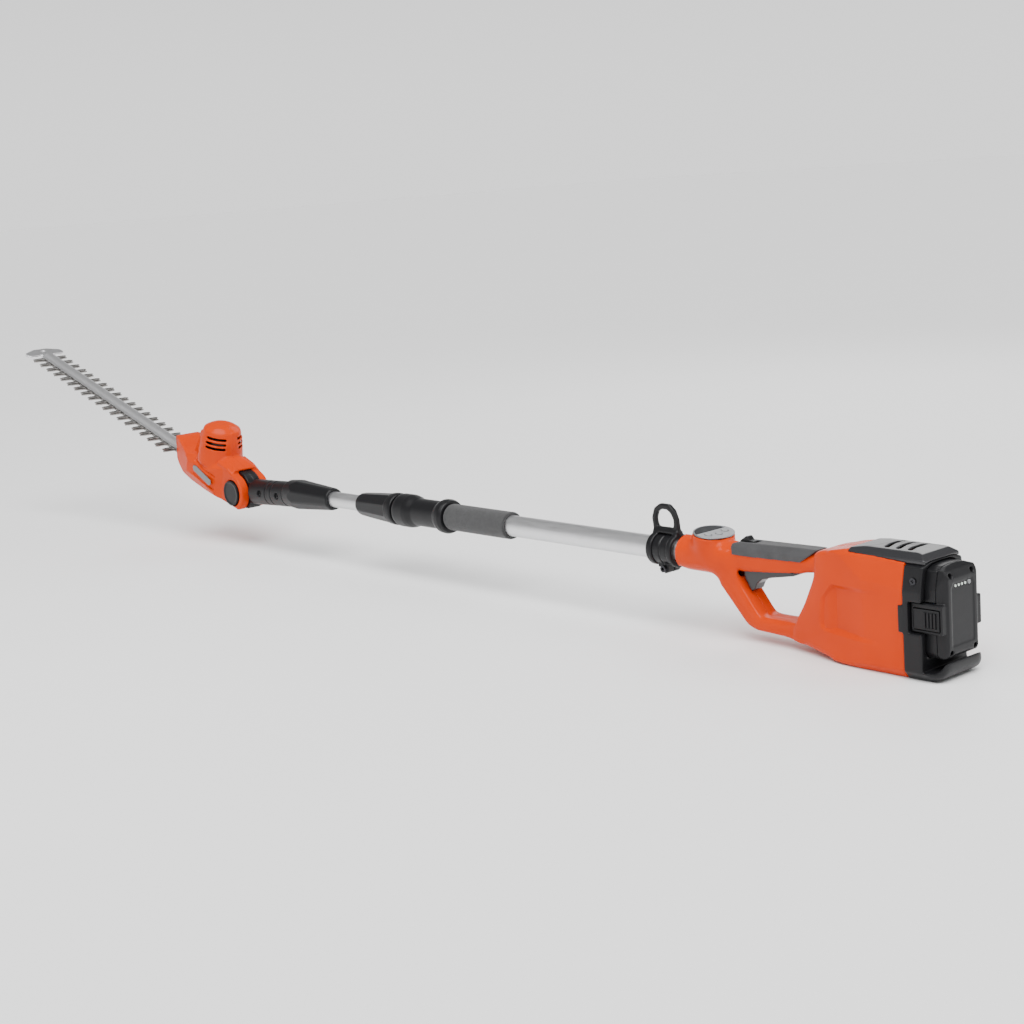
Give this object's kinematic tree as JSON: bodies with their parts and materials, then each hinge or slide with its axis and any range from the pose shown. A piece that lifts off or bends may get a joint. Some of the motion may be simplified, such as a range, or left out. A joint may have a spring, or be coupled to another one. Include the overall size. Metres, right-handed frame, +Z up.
{
  "type": "pole hedge trimmer",
  "caption": "Cordless pole hedge trimmer: rear handle with battery, telescopic pole and tilting powered head with a double-sided reciprocating blade.",
  "frame": {"origin": "middle of the flat foot under the battery frame, on the plane it rests on, in the tool's middle plane", "axes": "+X along the pole towards the cutting head, +Y to the user's left, +Z up"},
  "size_m": [2.1322, 0.0868, 0.3133],
  "materials": {
    "orange_shell": "glossy moulded",
    "black_plastic": "fine moulded texture",
    "dark_cover": "satin",
    "soft_grip": "soft matte",
    "foam": "open matte",
    "silver_trim": "satin silver",
    "key_grey": "satin",
    "smoked_window": "polished",
    "board_green": "lacquered",
    "copper": "lacquered wire",
    "cell_wrap": "printed wrap over the can",
    "lamp_green": "clear tinted",
    "tube_aluminium": "satin anodised",
    "blade_steel": "ground",
    "screw_steel": "blackened",
    "machine_steel": "turned",
    "cast_alloy": "as cast"
  },
  "bodies": {
    "rear_unit": {"rear_housing_left": "orange_shell", "rear_housing_right": "orange_shell", "housing_screws": "screw_steel", "grip_insert": "soft_grip", "top_cover": "dark_cover", "battery_frame": "black_plastic", "terminal_block": "black_plastic", "control_board": "board_green", "trigger_switch": "black_plastic", "trigger_pin": "machine_steel", "lockout_pin": "machine_steel", "pod_bezel": "silver_trim", "display_window": "smoked_window", "keypad_board": "board_green", "pole_outer_tube": "tube_aluminium", "foam_sleeve": "foam", "coupling_body": "black_plastic", "tube_collet": "key_grey"},
    "harness_eye": {"harness_clamp": "black_plastic", "harness_band": "black_plastic", "clamp_bolt": "screw_steel"},
    "trigger_lever": {"trigger": "dark_cover"},
    "safety_catch": {"lockout_lever": "black_plastic"},
    "power_button": {"power_key": "key_grey"},
    "mode_button": {"mode_key": "key_grey"},
    "reverse_button": {"reverse_key": "key_grey"},
    "battery": {"battery_case": "black_plastic", "battery_end_cap": "black_plastic", "battery_screws": "screw_steel", "battery_cells": "cell_wrap", "charge_lamps": "lamp_green"},
    "charge_check": {"charge_button": "key_grey"},
    "latch_left": {"battery_latch_left": "black_plastic"},
    "latch_right": {"battery_latch_right": "black_plastic"},
    "twist_collar": {"lock_collar": "black_plastic"},
    "inner_pole": {"pole_inner_tube": "tube_aluminium", "guide_bush": "key_grey", "neck_left": "black_plastic", "neck_right": "black_plastic", "neck_screws": "screw_steel", "neck_sleeve": "black_plastic"},
    "head": {"head_shell_left": "orange_shell", "head_shell_right": "orange_shell", "head_screws": "screw_steel", "head_badge": "silver_trim", "pivot_pin": "machine_steel", "pivot_cap": "black_plastic", "motor_stator": "machine_steel", "stator_windings": "copper", "head_bearings": "machine_steel", "gearbox_plate": "cast_alloy", "blade_guide_bar": "tube_aluminium", "blade_bolts": "machine_steel", "tip_guard": "tube_aluminium"},
    "tilt_button": {"pivot_lock_button": "black_plastic"},
    "gear": {"drive_gear": "machine_steel"},
    "motor": {"motor_rotor": "machine_steel", "motor_fan": "black_plastic"},
    "blade_upper": {"upper_blade": "blade_steel"},
    "blade_lower": {"lower_blade": "blade_steel"}
  },
  "joints": [
    {"name": "harness_slide", "type": "slide", "parent": "rear_unit", "child": "harness_eye", "axis": [1, 0, 0], "range_m": [0, 0.27]},
    {"name": "trigger_pull", "type": "hinge", "parent": "rear_unit", "child": "trigger_lever", "pos_m": [0.203, 0, 0.0955], "axis": [0, -1, 0], "range_deg": [0, 6], "stiffness_Nm_per_rad": 1, "springref_deg": -14.32},
    {"name": "safety_press", "type": "hinge", "parent": "rear_unit", "child": "safety_catch", "pos_m": [0.272, 0, 0.1165], "axis": [0, 1, 0], "range_deg": [0, 9], "stiffness_Nm_per_rad": 0.3, "springref_deg": -17.19},
    {"name": "power_press", "type": "slide", "parent": "rear_unit", "child": "power_button", "axis": [0.1908, 0, -0.9816], "range_m": [0, 0.0006], "stiffness_N_per_m": 600, "springref_m": -0.0008},
    {"name": "mode_press", "type": "slide", "parent": "rear_unit", "child": "mode_button", "axis": [0.1908, 0, -0.9816], "range_m": [0, 0.0006], "stiffness_N_per_m": 600, "springref_m": -0.0008},
    {"name": "reverse_press", "type": "slide", "parent": "rear_unit", "child": "reverse_button", "axis": [0.1908, 0, -0.9816], "range_m": [0, 0.0006], "stiffness_N_per_m": 600, "springref_m": -0.0008},
    {"name": "battery_slide", "type": "slide", "parent": "rear_unit", "child": "battery", "axis": [-1, 0, 0], "range_m": [0, 0.12]},
    {"name": "charge_press", "type": "slide", "parent": "battery", "child": "charge_check", "axis": [1, 0, 0], "range_m": [0, 0.0008], "stiffness_N_per_m": 500, "springref_m": -0.0008},
    {"name": "latch_left_press", "type": "slide", "parent": "battery", "child": "latch_left", "axis": [0, -1, 0], "range_m": [0, 0.0028], "stiffness_N_per_m": 800, "springref_m": -0.001},
    {"name": "latch_right_press", "type": "slide", "parent": "battery", "child": "latch_right", "axis": [0, 1, 0], "range_m": [0, 0.0028], "stiffness_N_per_m": 800, "springref_m": -0.001},
    {"name": "collar_twist", "type": "hinge", "parent": "rear_unit", "child": "twist_collar", "pos_m": [1.03, 0, 0.098], "axis": [1, 0, 0], "range_deg": [0, 100]},
    {"name": "pole_extend", "type": "slide", "parent": "rear_unit", "child": "inner_pole", "axis": [1, 0, 0], "range_m": [-0.055, 0.45]},
    {"name": "head_tilt", "type": "hinge", "parent": "inner_pole", "child": "head", "pos_m": [1.409, 0, 0.0904], "axis": [0, -1, 0], "range_deg": [-90, 45]},
    {"name": "tilt_unlock", "type": "slide", "parent": "head", "child": "tilt_button", "axis": [0, -1, 0], "range_m": [0, 0.0032], "stiffness_N_per_m": 800, "springref_m": -0.001},
    {"name": "gear_spin", "type": "hinge", "parent": "head", "child": "gear", "pos_m": [1.51361, 0, 0.12903], "axis": [-0.304, 0, 0.9527], "continuous": true},
    {"name": "motor_spin", "type": "hinge", "parent": "head", "child": "motor", "pos_m": [1.47553, 0, 0.15362], "axis": [-0.304, 0, 0.9527], "continuous": true},
    {"name": "blade_stroke", "type": "slide", "parent": "head", "child": "blade_upper", "axis": [0.9527, 0, 0.304], "range_m": [-0.008, 0.008]},
    {"name": "blade_return", "type": "slide", "parent": "head", "child": "blade_lower", "axis": [0.9527, 0, 0.304], "range_m": [-0.008, 0.008]}
  ],
  "couplings": [
    {"joint": "motor_spin", "follows": "gear_spin", "ratio": -6.2},
    {"joint": "blade_return", "follows": "blade_stroke", "ratio": -1}
  ]
}
